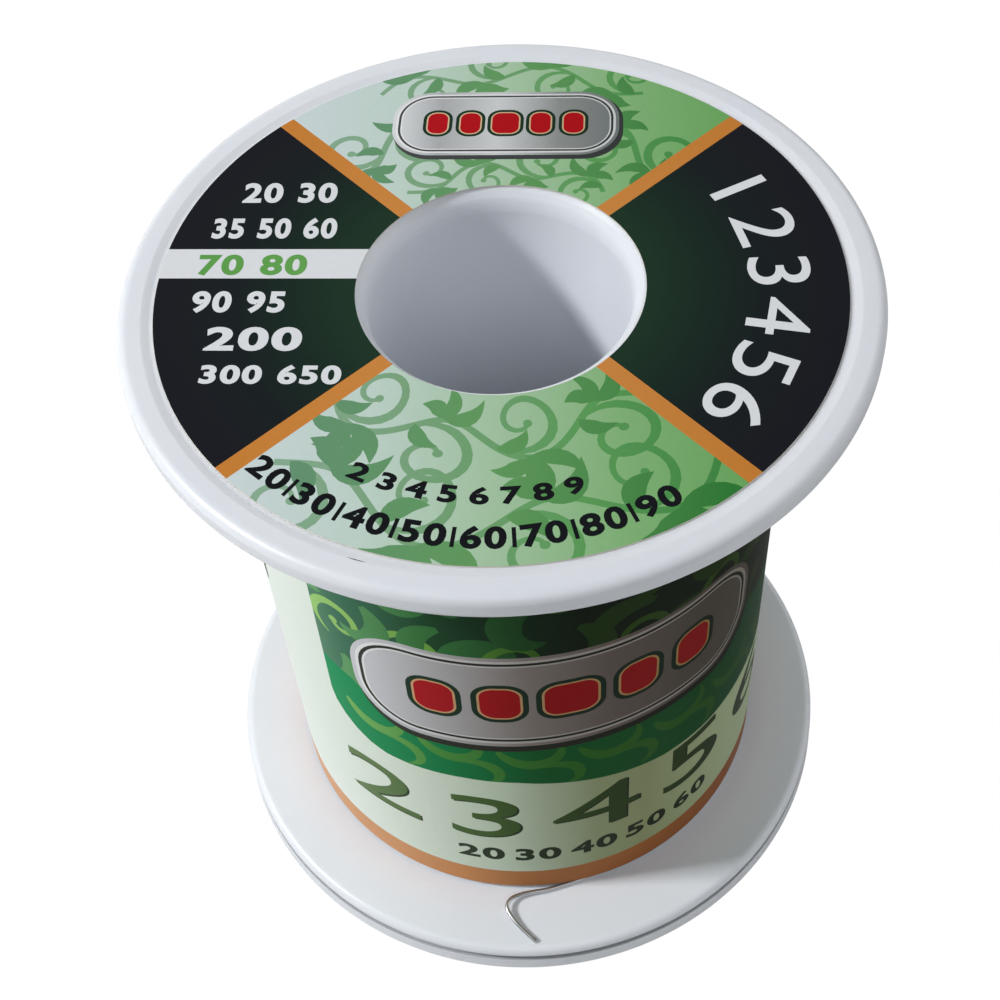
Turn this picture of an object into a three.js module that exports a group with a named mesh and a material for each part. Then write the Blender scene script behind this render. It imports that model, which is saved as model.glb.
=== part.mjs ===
// A small spool of fine solder wire, standing on its lower flange.
// The spool is two mouldings that meet half way up the hub. The winding fills
// the space between the flanges, a printed film goes round it, a printed disc
// lies in the recess of each flange, and the free end of the wire comes out
// under the film and lies on the lower flange.
// Millimetres, +Z up, origin at the middle of the face that the spool rests on.
// The bottom and top rims are flat lands, so the spool stands either way up.
import * as THREE from 'three';

// ---------------------------------------------------------------- dimensions
// Spool
const FLANGE_RADIUS = 21.5;
const SPOOL_HEIGHT = 46;
const LOWER_THICKNESS = 2.9;
const UPPER_THICKNESS = 2.6;
const BORE_RADIUS = 7.5;
const HUB_RADIUS = 9.5;

// Rim of both flanges: a flat land and a round outer edge
const LAND_INNER_RADIUS = 20.1;
const EDGE_ROUND = 0.6;

// Lower rim: a wall with a little draft, a deep groove, and a round lip over it.
// The groove's floor is given as [radius, height].
const LOWER_GROOVE = [
  [21.4, 1.62],
  [20.6, 1.55],
];
const LOWER_LIP_RADIUS = 21.42;
const LOWER_LIP_ROUND = 0.57;
const LOWER_LIP_START_ANGLE = -90;

// Upper rim: a thin ring, then a wide groove and a smaller lip
const RING_HEIGHT = 1.2;
const RING_CHAMFER = 0.2;
const GROOVE_RADIUS = 20.9;
const UPPER_LIP_RADIUS = 21.1;
const UPPER_LIP_ROUND = 0.9;
const UPPER_LIP_START_ANGLE = -10;

// Recess for the printed disc, and the mouth of the bore: [radius, depth under
// the recess], steep at first inside the bore and then like a chamfer
const RECESS_DEPTH = 0.15;
const RECESS_RADIUS = 19.64;
const BORE_MOUTH = [
  [7.5, 1.5],
  [7.54, 1.15],
  [7.61, 0.85],
  [7.7, 0.58],
  [7.92, 0.26],
  [8.14, 0],
];

// Joint of the two halves: the upper spigot stands in the lower socket
const SEAM_HEIGHT = SPOOL_HEIGHT / 2;
const SPIGOT_LENGTH = 1.3;
const SPIGOT_RADIUS = 8.3;
const SOCKET_CLEARANCE = 0.3;

// Winding, printed film and printed discs
const WIRE_DIAMETER = 0.3;
const WINDING_RADIUS = 16.6;
const WINDING_CLEARANCE = 0.05;
const LAST_TURN_DEPTH = 0.35;
const LAST_TURN_HEIGHT = 0.4;
const FILM_THICKNESS = 0.12;
const FILM_CLEARANCE = 0.02;
const FILM_BOTTOM = 3.3;
const FILM_TOP = 42.3;
const DISC_THICKNESS = 0.1;
const DISC_INNER_RADIUS = 8.2;
const DISC_OUTER_RADIUS = 19.4;

// Free end of the wire: an arc hidden under the film, then a route by hand.
// The first arc lies in the winding's last turn, just above the lower flange.
const TAIL_REST = LOWER_THICKNESS + WIRE_DIAMETER / 2 + 0.01;
const TAIL_ARC_RADIUS = 16.43;
const TAIL_ARC_START = -3;
const TAIL_ARC_END = -70;
const TAIL_ARC_POINTS = 9;
const TAIL_SIDES = 8;
const TAIL_STEPS = 52;
const TAIL_ROUTE = [
  [4.5, -15.7, 0],
  [3.65, -16.07, 0],
  [2.45, -16.46, 0],
  [1.35, -16.76, 0.01],
  [0.35, -16.98, 0.04],
  [-0.65, -17.11, 0.1],
  [-1.4, -17.26, 0.18],
  [-1.99, -17.49, 0.26],
  [-2.34, -17.83, 0.3],
  [-2.44, -18.23, 0.3],
  [-2.26, -18.68, 0.24],
  [-1.91, -19.24, 0.16],
  [-1.4, -19.85, 0.08],
  [-0.6, -20.66, 0],
];

// Smoothness
const TURN_SEGMENTS = 64;
const EDGE_STEPS = 6;

// ----------------------------------------------------------------- materials
const whitePlastic = new THREE.MeshStandardMaterial({
  name: 'white_plastic',
  color: '#dfe1e5',
  roughness: 0.35,
  metalness: 0,
});
const solder = new THREE.MeshStandardMaterial({
  name: 'solder',
  color: '#c3c6ca',
  roughness: 0.25,
  metalness: 1,
});
const printedDisc = new THREE.MeshStandardMaterial({
  name: 'printed_disc',
  color: '#1f2b25',
  roughness: 0.4,
  metalness: 0,
});
const printedFilm = new THREE.MeshStandardMaterial({
  name: 'printed_film',
  color: '#3f7d4a',
  roughness: 0.35,
  metalness: 0,
});

// ------------------------------------------------------------------- helpers
const point = (radius, height) => new THREE.Vector2(radius, height);

// Points along an arc in the half plane of a turned profile, in degrees.
function arc(centreRadius, centreHeight, radius, from, to, steps) {
  const points = [];
  for (let step = 0; step <= steps; step += 1) {
    const angle = THREE.MathUtils.degToRad(from + ((to - from) * step) / steps);
    points.push(point(
      centreRadius + radius * Math.cos(angle),
      centreHeight + radius * Math.sin(angle),
    ));
  }
  return points;
}

// A closed profile, anticlockwise with the axis on its left, turned about +Z.
function turned(profile) {
  const geometry = new THREE.LatheGeometry([...profile, profile[0]], TURN_SEGMENTS);
  geometry.rotateX(Math.PI / 2);
  return geometry;
}

function ring(innerRadius, outerRadius, bottom, top) {
  return turned([
    point(innerRadius, bottom),
    point(outerRadius, bottom),
    point(outerRadius, top),
    point(innerRadius, top),
  ]);
}

function named(name, geometry, material) {
  const mesh = new THREE.Mesh(geometry, material);
  mesh.name = name;
  return mesh;
}

// --------------------------------------------------------------------- spool
// The outer face of a flange, from the bore's mouth to its round outer edge.
// Heights are counted inwards from the face that the spool stands on.
function facePoints() {
  return [
    ...BORE_MOUTH.map(([radius, depth]) => point(radius, RECESS_DEPTH + depth)),
    point(RECESS_RADIUS, RECESS_DEPTH),
    point(LAND_INNER_RADIUS, 0),
    ...arc(FLANGE_RADIUS - EDGE_ROUND, EDGE_ROUND, EDGE_ROUND, -90, 0, EDGE_STEPS),
  ];
}

function lipPoints(radius, round, startAngle, thickness) {
  return arc(radius - round, thickness - round, round, startAngle, 90, EDGE_STEPS);
}

// Lower half: the hub ends in a socket, and its outer wall in the seam.
function lowerHalf() {
  const socketRadius = SPIGOT_RADIUS + SOCKET_CLEARANCE;
  const socketFloor = SEAM_HEIGHT - SPIGOT_LENGTH - SOCKET_CLEARANCE;
  return turned([
    ...facePoints(),
    ...LOWER_GROOVE.map(([radius, height]) => point(radius, height)),
    ...lipPoints(LOWER_LIP_RADIUS, LOWER_LIP_ROUND, LOWER_LIP_START_ANGLE, LOWER_THICKNESS),
    point(HUB_RADIUS, LOWER_THICKNESS),
    point(HUB_RADIUS, SEAM_HEIGHT),
    point(socketRadius, SEAM_HEIGHT),
    point(socketRadius, socketFloor),
    point(BORE_RADIUS, socketFloor),
  ]);
}

// Upper half: its flange is turned over, and its hub ends in a spigot.
function upperHalf() {
  const flange = [
    ...facePoints(),
    point(FLANGE_RADIUS, RING_HEIGHT),
    point(FLANGE_RADIUS - RING_CHAMFER, RING_HEIGHT + RING_CHAMFER),
    point(GROOVE_RADIUS, RING_HEIGHT + RING_CHAMFER),
    ...lipPoints(UPPER_LIP_RADIUS, UPPER_LIP_ROUND, UPPER_LIP_START_ANGLE, UPPER_THICKNESS),
  ];
  const profile = [
    ...flange.map(({ x, y }) => point(x, SPOOL_HEIGHT - y)),
    point(HUB_RADIUS, SPOOL_HEIGHT - UPPER_THICKNESS),
    point(HUB_RADIUS, SEAM_HEIGHT),
    point(SPIGOT_RADIUS, SEAM_HEIGHT),
    point(SPIGOT_RADIUS, SEAM_HEIGHT - SPIGOT_LENGTH),
    point(BORE_RADIUS, SEAM_HEIGHT - SPIGOT_LENGTH),
  ];
  return turned(profile.reverse());
}

// ------------------------------------------------------------ solder and film
// All the layers of wire but the end of the last turn, as one ring. Its lower
// outer corner is cut back by a wire's width, where the free end comes from.
function winding() {
  const inner = HUB_RADIUS + WINDING_CLEARANCE;
  const bottom = LOWER_THICKNESS;
  const top = SPOOL_HEIGHT - UPPER_THICKNESS;
  return turned([
    point(inner, bottom),
    point(WINDING_RADIUS - LAST_TURN_DEPTH, bottom),
    point(WINDING_RADIUS - LAST_TURN_DEPTH, bottom + LAST_TURN_HEIGHT),
    point(WINDING_RADIUS, bottom + LAST_TURN_HEIGHT),
    point(WINDING_RADIUS, top),
    point(inner, top),
  ]);
}

function tailPoints() {
  const points = [];
  for (let step = 0; step < TAIL_ARC_POINTS; step += 1) {
    const share = step / (TAIL_ARC_POINTS - 1);
    const angle = THREE.MathUtils.degToRad(
      TAIL_ARC_START + (TAIL_ARC_END - TAIL_ARC_START) * share,
    );
    points.push(new THREE.Vector3(
      TAIL_ARC_RADIUS * Math.cos(angle),
      TAIL_ARC_RADIUS * Math.sin(angle),
      TAIL_REST,
    ));
  }
  for (const [x, y, lift] of TAIL_ROUTE) {
    points.push(new THREE.Vector3(x, y, TAIL_REST + lift));
  }
  return points;
}

function tail() {
  const section = new THREE.Shape();
  section.absarc(0, 0, WIRE_DIAMETER / 2, 0, Math.PI * 2);
  const path = new THREE.CatmullRomCurve3(tailPoints());
  console.log(`free end of the wire: ${path.getLength().toFixed(2)} mm`);
  return new THREE.ExtrudeGeometry(section, {
    curveSegments: TAIL_SIDES,
    steps: TAIL_STEPS,
    bevelEnabled: false,
    extrudePath: path,
  });
}

function film() {
  const inner = WINDING_RADIUS + FILM_CLEARANCE;
  return ring(inner, inner + FILM_THICKNESS, FILM_BOTTOM, FILM_TOP);
}

const lowerDiscTop = RECESS_DEPTH;
const upperDiscBottom = SPOOL_HEIGHT - RECESS_DEPTH;

function disc(bottom) {
  return ring(DISC_INNER_RADIUS, DISC_OUTER_RADIUS, bottom, bottom + DISC_THICKNESS);
}

// ------------------------------------------------------------------ assembly
const spool = new THREE.Group();
spool.name = 'solder_wire_spool';
spool.add(
  named('lower_spool_half', lowerHalf(), whitePlastic),
  named('upper_spool_half', upperHalf(), whitePlastic),
  named('solder_winding', winding(), solder),
  named('solder_tail', tail(), solder),
  named('wrap_label', film(), printedFilm),
  named('lower_disc_label', disc(lowerDiscTop - DISC_THICKNESS), printedDisc),
  named('upper_disc_label', disc(upperDiscBottom), printedDisc),
);

export default spool;
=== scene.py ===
# %% [markdown]
# # A small spool of solder wire
#
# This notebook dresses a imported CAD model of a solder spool. The real thing is two
# mouldings of white polystyrene pushed together, wound with solder wire 0.3 mm
# thick. A varnished paper label goes round the winding, and a printed disc is
# stuck in the recess of each flange. The CAD model fixes where everything is, so
# every size that it holds is read from it, and only finer details are given here.

# %% The frame, and the modules of the whole notebook
import math

import bpy
import numpy as np
from mathutils import Matrix, Vector
from mathutils.geometry import delaunay_2d_cdt


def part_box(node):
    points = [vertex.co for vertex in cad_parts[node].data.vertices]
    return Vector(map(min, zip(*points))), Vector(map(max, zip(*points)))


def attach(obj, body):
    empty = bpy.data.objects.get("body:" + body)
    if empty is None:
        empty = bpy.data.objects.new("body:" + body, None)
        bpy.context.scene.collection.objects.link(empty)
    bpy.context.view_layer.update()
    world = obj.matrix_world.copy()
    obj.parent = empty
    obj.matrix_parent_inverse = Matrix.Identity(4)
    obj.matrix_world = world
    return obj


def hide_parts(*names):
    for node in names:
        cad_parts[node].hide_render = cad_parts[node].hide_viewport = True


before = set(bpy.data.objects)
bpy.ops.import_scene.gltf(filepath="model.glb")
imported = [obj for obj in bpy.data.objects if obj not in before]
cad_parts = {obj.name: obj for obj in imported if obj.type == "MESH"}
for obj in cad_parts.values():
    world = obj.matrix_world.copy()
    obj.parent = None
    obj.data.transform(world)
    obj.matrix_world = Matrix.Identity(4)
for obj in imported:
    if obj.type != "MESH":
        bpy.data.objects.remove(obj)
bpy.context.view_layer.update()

MM = 0.001
scene = bpy.context.scene
scene.view_settings.view_transform = "Standard"
print("CAD nodes:", sorted(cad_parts))


def placed(name, data):
    """An object for some data, in the scene."""
    made = bpy.data.objects.new(name, data)
    scene.collection.objects.link(made)
    return made


def baked(made):
    """The plain mesh that an object shows. The object itself is removed."""
    bpy.context.view_layer.update()
    mesh = bpy.data.meshes.new_from_object(
        made.evaluated_get(bpy.context.evaluated_depsgraph_get()))
    bpy.data.objects.remove(made)
    return mesh



# %% [markdown]
# ## Sizes from the frame
#
# A node's box gives its height and its radius, because everything here is turned
# about the Z axis. All the lengths in this notebook are in millimetres, and a mesh
# is scaled to metres when it is made.

# %% Read the main sizes
SPOOL_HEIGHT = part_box("upper_spool_half")[1].z / MM
FLANGE_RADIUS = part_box("upper_spool_half")[1].x / MM
LOWER_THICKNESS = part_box("solder_winding")[0].z / MM
UPPER_THICKNESS = SPOOL_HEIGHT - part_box("solder_winding")[1].z / MM
WINDING_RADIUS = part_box("solder_winding")[1].x / MM
FILM_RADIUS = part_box("wrap_label")[1].x / MM
FILM_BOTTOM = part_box("wrap_label")[0].z / MM
FILM_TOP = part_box("wrap_label")[1].z / MM
DISC_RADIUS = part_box("upper_disc_label")[1].x / MM
DISC_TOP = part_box("upper_disc_label")[1].z / MM
DISC_THICKNESS = DISC_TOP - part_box("upper_disc_label")[0].z / MM
WIRE_DIAMETER = 0.3
print("spool", round(SPOOL_HEIGHT, 2), "high, flange radius", round(FLANGE_RADIUS, 2))
print("film from", round(FILM_BOTTOM, 2), "to", round(FILM_TOP, 2), "radius", round(FILM_RADIUS, 2))

# %% [markdown]
# ## The camera
#
# The camera looks down on the spool from close by, so the upper flange is much
# larger in the picture than the lower one. Its place and turn are given as a
# photographer would give them: where it stands, how far it points below the
# horizon, and how far it is tipped to one side.

# %% Make the camera
CAMERA_PLACE = Vector((0, -67.19, 113.52))
CAMERA_DOWN = math.radians(52.471)
CAMERA_TURN = math.radians(-0.767)
CAMERA_ROLL = math.radians(-4.609)
FOCAL_LENGTH = 60.78

forward = Vector((
    math.sin(CAMERA_TURN) * math.cos(CAMERA_DOWN),
    math.cos(CAMERA_TURN) * math.cos(CAMERA_DOWN),
    -math.sin(CAMERA_DOWN),
))
level_right = Vector((math.cos(CAMERA_TURN), -math.sin(CAMERA_TURN), 0))
level_up = level_right.cross(forward)
right = level_right * math.cos(CAMERA_ROLL) + level_up * math.sin(CAMERA_ROLL)
up = level_up * math.cos(CAMERA_ROLL) - level_right * math.sin(CAMERA_ROLL)

camera_data = bpy.data.cameras.new("camera")
camera_data.lens = FOCAL_LENGTH
camera_data.sensor_width = 36
camera_data.clip_start = 0.005
camera_data.clip_end = 20
camera = placed("camera", camera_data)
turn = Matrix((right, up, -forward)).transposed().to_4x4()
camera.matrix_world = Matrix.Translation(CAMERA_PLACE * MM) @ turn
scene.camera = camera
print("camera", [round(v, 1) for v in CAMERA_PLACE], "mm, lens", FOCAL_LENGTH)

# %% [markdown]
# ## Making a mesh
#
# Each piece is a plain mesh with its place in its points, so its object stays at
# the origin. One function makes it, and marks the edges that should look sharp by
# the angle between their faces.

# %% A mesh from points and faces
SHARP_ANGLE = math.radians(35)


def solid(name, points, faces, materials=(), inks=None):
    """A mesh object from points in millimetres. inks gives each face's material."""
    mesh = bpy.data.meshes.new(name)
    mesh.from_pydata([Vector(p) * MM for p in points], [], faces)
    for material in materials:
        mesh.materials.append(material)
    if inks is not None:
        mesh.polygons.foreach_set("material_index", inks)
    mesh.shade_smooth()
    mesh.set_sharp_from_angle(angle=SHARP_ANGLE)
    mesh.update()
    print(name, len(mesh.polygons), "faces")
    return placed(name, mesh)


def polar(radius, angle, height=0.0):
    """A point at an angle in degrees about the Z axis."""
    turned_by = math.radians(angle)
    return Vector((radius * math.cos(turned_by), radius * math.sin(turned_by), height))


# %% [markdown]
# ## The free end of the wire
#
# The last turn of wire comes out from under the label, lifts a little off the
# flange, and is bent back on itself to its cut end. Solder is soft, so it keeps
# every bend that fingers gave it. The route repeats the one in the CAD source:
# an arc that is hidden under the label, and then points listed one by one.

# %% The route of the free end
WIRE_RADIUS = WIRE_DIAMETER / 2
TAIL_CLEARANCE = 0.01
TAIL_REST = LOWER_THICKNESS + WIRE_RADIUS + TAIL_CLEARANCE
TAIL_ARC_RADIUS = 16.43
TAIL_ARC_START = -3
TAIL_ARC_END = -70
TAIL_ARC_POINTS = 9
TAIL_STEPS = 10  # points drawn from one knot of the route to the next
TAIL_ROUTE = [
    (4.5, -15.7, 0),
    (3.65, -16.07, 0),
    (2.45, -16.46, 0),
    (1.35, -16.76, 0.01),
    (0.35, -16.98, 0.04),
    (-0.65, -17.11, 0.1),
    (-1.4, -17.26, 0.18),
    (-1.99, -17.49, 0.26),
    (-2.34, -17.83, 0.3),
    (-2.44, -18.23, 0.3),
    (-2.26, -18.68, 0.24),
    (-1.91, -19.24, 0.16),
    (-1.4, -19.85, 0.08),
    (-0.6, -20.66, 0),
]


def smooth_route(knots, steps):
    """Points along a centripetal Catmull-Rom curve through the knots."""
    knots = [Vector(k) for k in knots]
    ends = [knots[0] * 2 - knots[1], *knots, knots[-1] * 2 - knots[-2]]
    route = []
    for a, b, c, d in zip(ends, ends[1:], ends[2:], ends[3:]):
        tb = (b - a).length ** 0.5
        tc = tb + (c - b).length ** 0.5
        td = tc + (d - c).length ** 0.5
        for step in range(steps):
            t = tb + (tc - tb) * step / steps
            ab = a.lerp(b, t / tb)
            bc = b.lerp(c, (t - tb) / (tc - tb))
            cd = c.lerp(d, (t - tc) / (td - tc))
            route.append(ab.lerp(bc, t / tc).lerp(bc.lerp(cd, (t - tb) / (td - tb)),
                                                  (t - tb) / (tc - tb)))
    return [*route, knots[-1]]


arc_step = (TAIL_ARC_END - TAIL_ARC_START) / (TAIL_ARC_POINTS - 1)
tail_knots = [
    polar(TAIL_ARC_RADIUS, TAIL_ARC_START + arc_step * i, TAIL_REST)
    for i in range(TAIL_ARC_POINTS)
]
tail_knots += [Vector((x, y, TAIL_REST + lift)) for x, y, lift in TAIL_ROUTE]
tail_route = smooth_route(tail_knots, TAIL_STEPS)

# %% [markdown]
# A round wire is a ring of points that is carried along the route without
# twisting. The cut end shows that this wire is a tube: a thread of flux runs down
# its middle. Side cutters leave the end a little flattened, so the last rings are
# pinched.

# %% Sweep the wire along its route
WIRE_SIDES = 20
FLUX_RADIUS = 0.06
PINCH_LENGTH = 0.3
PINCHED_TO = 0.72


def sweep_wire(route, radius):
    """A tube's points, faces and materials, and each point's place on straight wire.

    The end faces are split for the core."""
    points, faces, inks, unrolled = [], [], [], []
    along = (route[1] - route[0]).normalized()
    side = along.cross(Vector((0, 0, 1))).normalized()
    strides = [(b - a).length for a, b in zip(route, route[1:])]
    left_over = sum(strides)
    for i, place in enumerate(route):
        ahead = route[min(i + 1, len(route) - 1)] - route[max(i - 1, 0)]
        side = (side - side.project(ahead)).normalized()
        lift = ahead.cross(side).normalized()
        if i:
            left_over -= strides[i - 1]
        flat = PINCHED_TO + (1 - PINCHED_TO) * min(1, left_over / PINCH_LENGTH)
        for k in range(WIRE_SIDES):
            angle = 2 * math.pi * k / WIRE_SIDES
            points.append(place + radius * (side * math.cos(angle) * (2 - flat)
                                            + lift * math.sin(angle) * flat))
            unrolled.append(polar(radius, 360 * k / WIRE_SIDES, sum(strides[:i])))
    for a in range(len(points) - WIRE_SIDES):
        b = a + 1 if (a + 1) % WIRE_SIDES else a + 1 - WIRE_SIDES
        faces.append((a, b, b + WIRE_SIDES, a + WIRE_SIDES))
        inks.append(0)
    for i, turn_round in ((0, True), (len(route) - 1, False)):
        ring = list(range(i * WIRE_SIDES, (i + 1) * WIRE_SIDES))
        core = list(range(len(points), len(points) + WIRE_SIDES))
        points += [route[i] + (points[k] - route[i]) * FLUX_RADIUS / radius for k in ring]
        unrolled += [Vector()] * WIRE_SIDES
        for k in range(WIRE_SIDES):
            n = (k + 1) % WIRE_SIDES
            quad = (ring[k], ring[n], core[n], core[k])
            faces.append(quad[::-1] if turn_round else quad)
            inks.append(0)
        faces.append(core[::-1] if turn_round else core)
        inks.append(1)
    return points, faces, inks, unrolled


tail_points, tail_faces, tail_inks, unrolled = sweep_wire(tail_route, WIRE_RADIUS)
tail = solid("solder_free_end", tail_points, tail_faces, inks=tail_inks)
straight = tail.data.attributes.new("straight_wire", "FLOAT_VECTOR", "POINT")
straight.data.foreach_set("vector", [v for place in unrolled for v in place])
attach(tail, "root")
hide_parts("solder_tail")

# %% [markdown]
# ## Colours and nodes
#
# Colours are written as they look on a screen, in sRGB hex, and one function
# turns them to the linear values that a shader needs. Another adds a node: it
# takes the node's own settings, and for each of its sockets a value or a link.
# Where a link is given as a whole node, it comes from that node's first output.

# %% Helpers for colours and nodes
def linear(colour):
    """The linear RGBA of an sRGB hex colour such as #d8dce0."""
    parts = [int(colour[i:i + 2], 16) / 255 for i in (1, 3, 5)]
    return (*[c / 12.92 if c <= 0.04045 else ((c + 0.055) / 1.055) ** 2.4 for c in parts], 1)


def node(tree, kind, inputs=None, **settings):
    """Adds a node. A socket gets a number, a colour, or a link from a socket or a node."""
    made = tree.nodes.new(kind)
    for name, value in settings.items():
        setattr(made, name, value)
    for name, value in (inputs or {}).items():
        if isinstance(value, bpy.types.Node):
            value = next(socket for socket in value.outputs if socket.enabled)
        if isinstance(value, bpy.types.NodeSocket):
            tree.links.new(value, made.inputs[name])
        else:
            made.inputs[name].default_value = value
    return made


def new_material(name):
    """An empty node material, its tree, and the place of a point in metres."""
    material = bpy.data.materials.new(name)
    material.use_nodes = True
    tree = material.node_tree
    tree.nodes.clear()
    return material, tree, node(tree, "ShaderNodeTexCoord").outputs["Object"]


def principled(tree, colour, roughness, inputs):
    """The tree's main shader, on its output."""
    surface = node(tree, "ShaderNodeBsdfPrincipled", {
        "Base Color": colour, "Roughness": roughness, **inputs})
    node(tree, "ShaderNodeOutputMaterial", {"Surface": surface})


# %% Helpers for the nodes used most
def maths(tree, operation, *values):
    """One sum on numbers and links."""
    return node(tree, "ShaderNodeMath", dict(enumerate(values)), operation=operation)


def noise(tree, place, spacing, detail=2.0, unit=MM):
    """Soft noise, with about one spacing between its crests."""
    return node(tree, "ShaderNodeTexNoise", {
        "Vector": place, "Scale": 1 / (spacing * unit), "Detail": detail})


def remap(tree, value, low, high, to_low=0.0, to_high=1.0):
    """Stretches one range of values to another."""
    return node(tree, "ShaderNodeMapRange", {
        "Value": value, "From Min": low, "From Max": high, "To Min": to_low, "To Max": to_high})


def ramp(tree, value, stops):
    """A colour ramp from {position: hex colour}."""
    made = node(tree, "ShaderNodeValToRGB", {"Fac": value})
    elements = made.color_ramp.elements
    while len(elements) > 1:
        elements.remove(elements[-1])
    for number, (position, colour) in enumerate(sorted(stops.items())):
        element = elements[0] if number == 0 else elements.new(position)
        element.position = position
        element.color = linear(colour)
    return made


def bump(tree, height, strength, depth):
    """A relief, with its depth in mm."""
    return node(tree, "ShaderNodeBump", {
        "Height": height, "Strength": strength, "Distance": depth * MM})


def blend(tree, share, first, second):
    """A mix of two colours."""
    return node(tree, "ShaderNodeMix", {"Factor": share, "A": first, "B": second},
                data_type="RGBA")


def from_axis(tree, axes):
    """The distance from the Z axis, given the three separate coordinates."""
    flat = node(tree, "ShaderNodeCombineXYZ", {"X": axes.outputs["X"], "Y": axes.outputs["Y"]})
    return node(tree, "ShaderNodeVectorMath", {0: flat}, operation="LENGTH")


# %% [markdown]
# ## Moulded polystyrene
#
# The spool is general-purpose polystyrene with a white pigment, shot into a
# polished mould. It has a soft shine, a very fine skin like orange peel, and a
# cool white colour. Handling leaves faint dull patches, so the roughness drifts
# by a few hundredths. The groove of the lower rim is painted a darker grey, as
# painted shade under the lip, and where the upper rim creases there is a small
# brown scuff.

# %% The white plastic
DEPTH_OF_GLOW = 0.25  # mm that light spreads in under the skin
SKIN_GRAIN = 0.6      # mm between the soft dimples of the moulded skin
PATCH_SIZE = 9        # mm across the dull patches that handling leaves
# The next three numbers place a painted shade in the groove under the lower lip.
SHADED_GROOVE_RADIUS = 20.5   # the groove of the lower rim, painted darker as shade under its lip
SHADED_GROOVE_HEIGHT = 1.68
SHADED_GROOVE_REACH = 0.14
SCUFF_PLACE = (-7.95, -18.42, 45.97)
SCUFF_SIZE = (0.62, 0.045, 0.3)
SCUFF_TURN = 156.6

polystyrene, tree, place = new_material("moulded_white_polystyrene")
patches = noise(tree, place, PATCH_SIZE, 3.0)
tint = ramp(tree, patches, {0.3: "#e8ecf3", 0.7: "#ebeff5"})
axes = node(tree, "ShaderNodeSeparateXYZ", {"Vector": place})
# Painted shade: the groove under the lower lip is painted a darker grey.
at_rim = maths(tree, "GREATER_THAN", from_axis(tree, axes), SHADED_GROOVE_RADIUS * MM)
at_height = maths(tree, "COMPARE", axes.outputs["Z"], SHADED_GROOVE_HEIGHT * MM, SHADED_GROOVE_REACH * MM)
with_painted_groove_shade = blend(tree, maths(tree, "MULTIPLY", at_rim, at_height), tint, linear("#b0b3b8"))
scuff_place = node(tree, "ShaderNodeMapping", {
    "Vector": place, "Location": Vector(SCUFF_PLACE) * MM,
    "Rotation": (0, 0, math.radians(SCUFF_TURN)),
    "Scale": Vector(SCUFF_SIZE) * MM}, vector_type="TEXTURE")
scuff = node(tree, "ShaderNodeTexGradient", {"Vector": scuff_place},
             gradient_type="SPHERICAL").outputs["Fac"]
paint = blend(tree, remap(tree, scuff, 0.05, 0.5), with_painted_groove_shade, linear("#4a3a33"))
principled(tree, paint, remap(tree, patches, 0.3, 0.7, 0.3, 0.38), {
    "Normal": bump(tree, noise(tree, place, SKIN_GRAIN), 0.05, 0.02),
    "IOR": 1.55, "Subsurface Weight": 1.0,
    "Subsurface Radius": (1, 1, 1), "Subsurface Scale": DEPTH_OF_GLOW * MM})
print("material", polystyrene.name)

# %% [markdown]
# ## Solder and flux
#
# Tin-lead solder is drawn through a die, which leaves it bright with fine lines
# along its length. The free end carries its own unrolled coordinates, in mm, so
# that its lines follow its bends. On the winding the lines go round the axis, so
# there the pattern reads only the radius and the height. The flux in the core is
# amber rosin.

# %% The wire's metal and its core
DRAW_LINE = 0.05     # mm between the die's lines, about twice the real spacing
LINE_STRETCH = 0.02  # how short the noise looks along the wire
FLUX_CLOUD = 0.05


def solder_metal(name, on_winding):
    """Bright drawn solder, with its lines along the wire."""
    material, tree, place = new_material(name)
    if on_winding:
        axes = node(tree, "ShaderNodeSeparateXYZ", {"Vector": place})
        place = node(tree, "ShaderNodeCombineXYZ", {
            "X": from_axis(tree, axes), "Y": axes.outputs["Z"]})
        scale = (1 / MM, 1 / MM, 1)
    else:
        place = node(tree, "ShaderNodeAttribute", attribute_name="straight_wire").outputs["Vector"]
        scale = (1, 1, LINE_STRETCH)
    stretched = node(tree, "ShaderNodeMapping", {"Vector": place, "Scale": scale})
    lines = noise(tree, stretched, DRAW_LINE, unit=1)
    tone = ramp(tree, lines, {0.3: "#c6c8cb", 0.7: "#dcdee0"})
    principled(tree, tone, remap(tree, lines, 0.3, 0.7, 0.24, 0.32), {
        "Normal": bump(tree, lines, 0.1, 0.005), "Metallic": 1.0})
    return material


solder = solder_metal("drawn_tin_lead_solder", False)
wound_solder = solder_metal("wound_tin_lead_solder", True)
rosin, tree, place = new_material("amber_rosin_flux")
cloud = noise(tree, place, FLUX_CLOUD)
principled(tree, ramp(tree, cloud, {0.3: "#6f4a1e", 0.7: "#9a6c30"}), 0.25, {})
for material in (solder, rosin):
    tail.data.materials.append(material)
print("materials", solder.name, rosin.name)

# %% [markdown]
# ## The two halves of the spool
#
# Each half is a turned shape: one outline, carried round the axis in fine steps.
# The outline is the CAD one with its round edges cut finer. Both flanges have a
# flat land to stand on and a round outer edge. The lower rim has a deep groove
# under a round lip, and the upper one a thin ring, a groove and a smaller lip. The
# two halves meet half way up the hub.

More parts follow.
